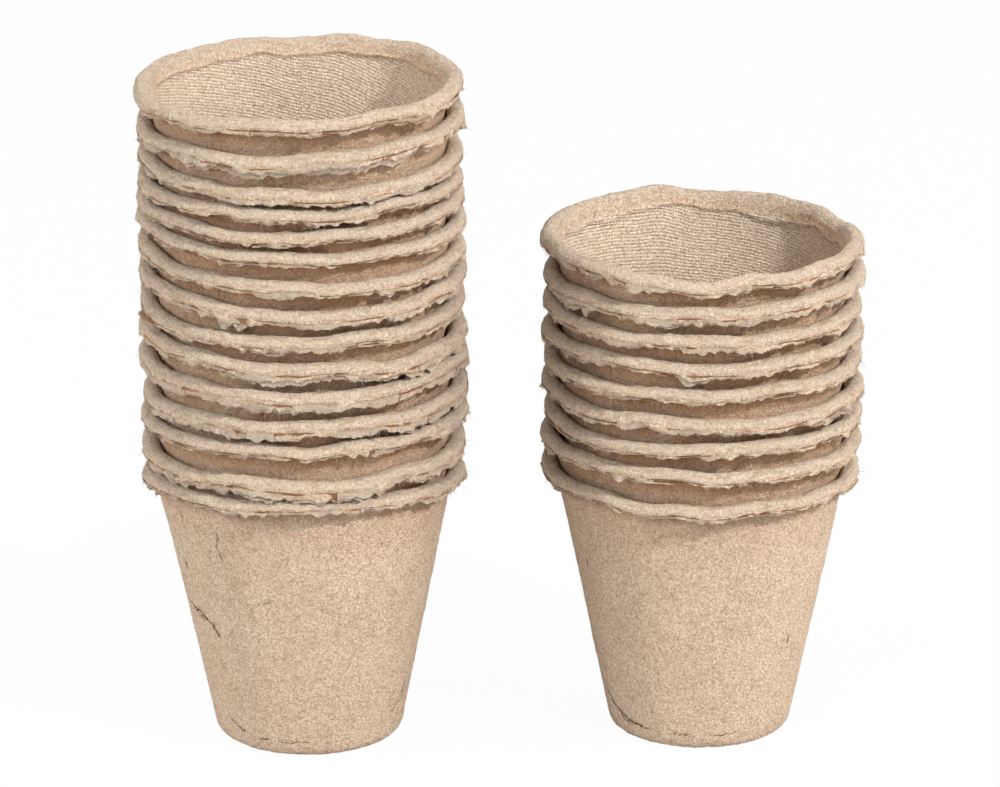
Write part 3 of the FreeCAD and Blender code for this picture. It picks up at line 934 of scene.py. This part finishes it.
def fibre_material():
    """Pressed plant pulp: cloudy tan, fine grain, dark specks, the print of a cloth inside, and painted
    shade.
    """
    material = bpy.data.materials.new("pressed_pulp")
    made = Nodes(material)
    place = made.node("ShaderNodeTexCoord").outputs["Object"]
    marks = [made.node("ShaderNodeAttribute", attribute_name=kind) for kind in KINDS]
    torn, crack, twill, shade = (mark.outputs["Fac"] for mark in marks)
    cloud = made.noise(place, size_mm=14, detail=4, rough=0.6)
    mottle = made.noise(place, size_mm=2.6, detail=4, rough=0.65)
    grain = made.noise(place, size_mm=0.55, detail=2, rough=0.75)
    felt = made.noise(place, size_mm=1.0, detail=4, rough=0.75, warp=1.8)
    specks = made.noise(place, size_mm=0.8, detail=2, rough=0.6, warp=1.5)
    strands = made.noise(place, size_mm=1.6, detail=1, rough=0.5, warp=4.0)
    cells = made.node("ShaderNodeTexVoronoi", feature="SMOOTH_F1")
    made.put(cells, Vector=place, Scale=1 / (PEBBLE_SIZE * MM), Smoothness=0.4)
    pebbles = made.math("SUBTRACT", 1.0, cells.outputs["Distance"])

    paler = made.math("MULTIPLY_ADD", made.ramp(cloud, 0.3, 0.7), 0.40, 0.35)
    colour = made.blend(paler, TAN, PALE)
    colour = made.tint(colour, made.ramp(mottle, 0.48, 0.72), 0.36, BROWN)
    colour = made.tint(colour, twill, 0.60, INSIDE)
    colour = made.tint(colour, made.ramp(grain, 0.50, 0.62), 0.62, BROWN)
    colour = made.tint(colour, made.ramp(felt, 0.52, 0.62), 0.62, PALE)
    colour = made.tint(colour, made.ramp(specks, 0.700, 0.760), 0.75, SPECK)
    colour = made.tint(colour, made.ramp(strands, 0.640, 0.690), 0.42, SPECK)
    colour = made.tint(colour, made.ramp(pebbles, 0.75, 0.35), 0.35, BROWN)

    cloth = made.node("ShaderNodeSeparateXYZ")
    made.put(cloth, Vector=made.node("ShaderNodeUVMap", uv_map="cloth").outputs["UV"])
    wander = made.math("MULTIPLY", made.noise(place, size_mm=7.0, detail=2), TWILL_WANDER)

    def ribs(line, pitch):
        """Parallel ribs from -1 to 1."""
        return made.math("SINE", made.math("MULTIPLY", made.math("ADD", line, wander), TURN / pitch))

    threads = made.math("MULTIPLY", ribs(cloth.outputs["X"], TWILL_CROSS_PITCH), TWILL_CROSS)
    weave = made.math("ADD", ribs(cloth.outputs["Y"], TWILL_PITCH), threads)
    weave = made.math("MULTIPLY", weave, twill)
    colour = made.tint(colour, made.ramp(weave, 0.0, -1.2), 0.38, BROWN)
    colour = made.tint(colour, torn, 0.50, RIM)
    # Painted shade: the colour turns towards this brown under and behind lips, in grooves and hollows, and
    # inside on the right
    colour = made.tint(colour, shade, 0.95, PAINTED_SHADE_COLOUR)
    colour = made.tint(colour, crack, 0.92, DEEP)

    # What the finest relief follows, and the share of each in it
    fluff = made.math("MULTIPLY", felt, torn)
    forms = ((grain, 0.45), (mottle, 0.50), (felt, 0.55), (pebbles, 0.22), (weave, 0.09), (fluff, 1.2))
    height, *others = [made.math("MULTIPLY", form, share) for form, share in forms]
    for other in others:
        height = made.math("ADD", height, other)
    bump = made.put(made.node("ShaderNodeBump"), Strength=1.0, Distance=BUMP_DEPTH * MM, Height=height)

    surface = made.put(
        made.node("ShaderNodeBsdfPrincipled"),
        Base_Color=colour, Roughness=0.95, Normal=bump.outputs["Normal"],
        Specular_IOR_Level=0.12,
    )
    made.put(made.node("ShaderNodeOutputMaterial"), Surface=surface.outputs[0])
    return material


def add_pots():
    """Both stacks."""
    material = fibre_material()
    for side, rims, seed in (("left", LEFT_RIMS, 100), ("right", RIGHT_RIMS, 300)):
        for number, rim in enumerate(rims, start=1):
            name = f"{side}_pot_{number:02d}"
            Pot(name, rim, seed + number, number == 1, number == len(rims)).make(material)


# The floor: half its side in metres, its tone, and how nearly white it is where it is seen
FLOOR_REACH, FLOOR_TONE, FLOOR_WHITE = 4.0, 0.60, 0.97


def add_floor():
    """A wide pale floor that looks white and keeps a faint shadow."""
    material = bpy.data.materials.new("pale_floor")
    made = Nodes(material)
    matt = made.put(made.node("ShaderNodeBsdfDiffuse"), Color=(FLOOR_TONE, FLOOR_TONE, FLOOR_TONE, 1))
    white = made.put(made.node("ShaderNodeEmission"), Color=(1, 1, 1, 1), Strength=1.0)
    mix = made.node("ShaderNodeMixShader")
    made.feed(mix.inputs[0], made.math("MULTIPLY", made.seen(), FLOOR_WHITE))
    made.feed(mix.inputs[1], matt.outputs[0])
    made.feed(mix.inputs[2], white.outputs[0])
    made.put(made.node("ShaderNodeOutputMaterial"), Surface=mix.outputs[0])
    mesh = bpy.data.meshes.new("floor")
    corners = [(x * FLOOR_REACH, y * FLOOR_REACH, 0) for x, y in ((-1, -1), (1, -1), (1, 1), (-1, 1))]
    mesh.from_pydata(corners, [], [(0, 1, 2, 3)])
    mesh.materials.append(material)
    floor = add_object("floor", mesh)

# Strength of the even light at eye level and straight above
AMBIENT_LEVEL, AMBIENT_ABOVE = 0.32, 0.88


def add_world():
    """Even light from all round, stronger from above, and white where it is seen."""
    world = bpy.data.worlds.new("studio")
    bpy.context.scene.world = world
    made = Nodes(world)
    way = made.node("ShaderNodeSeparateXYZ")
    made.put(way, Vector=made.node("ShaderNodeTexCoord").outputs["Generated"])
    ambient = made.node("ShaderNodeMapRange")
    made.put(ambient, Value=way.outputs["Z"], To_Min=AMBIENT_LEVEL, To_Max=AMBIENT_ABOVE)
    strength = made.node("ShaderNodeMapRange")
    made.put(strength, Value=made.seen(), To_Min=ambient.outputs["Result"], To_Max=1.0)
    sky = made.put(made.node("ShaderNodeBackground"), Color=(1, 1, 1, 1), Strength=strength.outputs["Result"])
    made.put(made.node("ShaderNodeOutputWorld"), Surface=sky.outputs[0])


# Lamps: place and size in metres and power in watts, all facing one point
LAMP_TARGET = (0.0, 0.0, 0.08)
LAMPS = {
    "key": ((1.15, -1.05, 1.30), 0.18, 40.0),
    "front": ((-0.80, -1.50, 0.80), 0.60, 7.5),
    "left": ((-1.60, -0.43, 0.68), 0.60, 13.5),
    "right": ((1.65, -0.15, 0.68), 0.60, 8.0),
}


def add_lamps():
    """Round soft lamps."""
    for name, (place, size, power) in LAMPS.items():
        data = bpy.data.lights.new(name, "AREA")
        data.shape = "DISK"
        data.size = size
        data.energy = power
        lamp = add_object(name, data)
        lamp.location = place
        lamp.rotation_euler = (Vector(LAMP_TARGET) - Vector(place)).to_track_quat("-Z", "Y").to_euler()


# The photograph's camera: lengths in metres, the sensor in mm, the tilt down in degrees
IMAGE_WIDTH = 1000
FOCAL_PIXELS = 6626
SENSOR_WIDTH = 36.0
CAMERA_PLACE = (-0.0008, -1.5505, 0.592)
CAMERA_PITCH = 18.06


def add_camera():
    """The camera, where the photograph was taken from."""
    data = bpy.data.cameras.new("camera")
    data.sensor_fit = "HORIZONTAL"
    data.sensor_width = SENSOR_WIDTH
    data.lens = FOCAL_PIXELS * SENSOR_WIDTH / IMAGE_WIDTH
    camera = add_object("camera", data)
    camera.location = CAMERA_PLACE
    camera.rotation_euler = (math.radians(90 - CAMERA_PITCH), 0, 0)
    bpy.context.scene.camera = camera


bpy.context.scene.view_settings.view_transform = "Standard"
add_camera()
add_world()
add_lamps()
add_floor()
add_pots()
